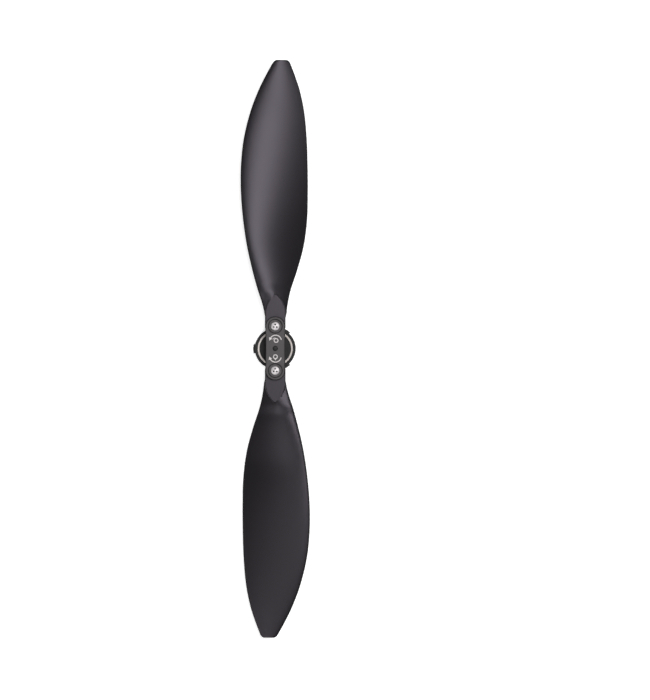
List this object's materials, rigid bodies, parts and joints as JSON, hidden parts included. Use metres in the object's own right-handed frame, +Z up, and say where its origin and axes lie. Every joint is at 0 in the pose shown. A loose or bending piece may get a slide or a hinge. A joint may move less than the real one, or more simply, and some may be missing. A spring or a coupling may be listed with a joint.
{
  "type": "propeller",
  "caption": "Folding drone propeller: twisted black blades pivot on screws under a clamp plate, on a round push-and-turn bayonet hub with a pale marker ring.",
  "frame": {"origin": "on the spin axis, in the hub's lower face that seats on the motor", "axes": "+Z up along the spin axis, away from the motor; +Y along blade_a towards its tip; blade_b points along -Y"},
  "size_m": [0.0396, 0.33, 0.0177],
  "materials": {
    "blade_black": "satin moulded, glass-filled",
    "base_black": "fine matte moulded",
    "plate_grey": "fine grained",
    "ring_pale": "satin",
    "bush_brass": "turned",
    "bright_steel": "polished",
    "dark_steel": "blackened",
    "shim_black": "smooth",
    "washer_grey": "matte"
  },
  "bodies": {
    "hub": {"bayonet_base": "base_black", "id_ring": "ring_pale", "centre_bush": "bush_brass", "base_screws": "dark_steel", "hub_yoke": "base_black", "top_plate": "plate_grey", "pivot_sleeve_a": "bright_steel", "pivot_sleeve_b": "bright_steel", "lower_shim_a": "shim_black", "lower_shim_b": "shim_black", "upper_shim_a": "shim_black", "upper_shim_b": "shim_black", "pivot_screw_a": "bright_steel", "pivot_screw_b": "bright_steel", "screw_washer_a": "washer_grey", "screw_washer_b": "washer_grey", "lock_nut_a": "dark_steel", "lock_nut_b": "dark_steel"},
    "blade_a": {"blade_a": "blade_black"},
    "blade_b": {"blade_b": "blade_black"}
  },
  "joints": [
    {"name": "blade_a_fold", "type": "hinge", "parent": "hub", "child": "blade_a", "pos_m": [0, 0.0126, 0], "axis": [0, 0, 1], "range_deg": [-90, 90]},
    {"name": "blade_b_fold", "type": "hinge", "parent": "hub", "child": "blade_b", "pos_m": [0, -0.0126, 0], "axis": [0, 0, 1], "range_deg": [-90, 90]}
  ]
}
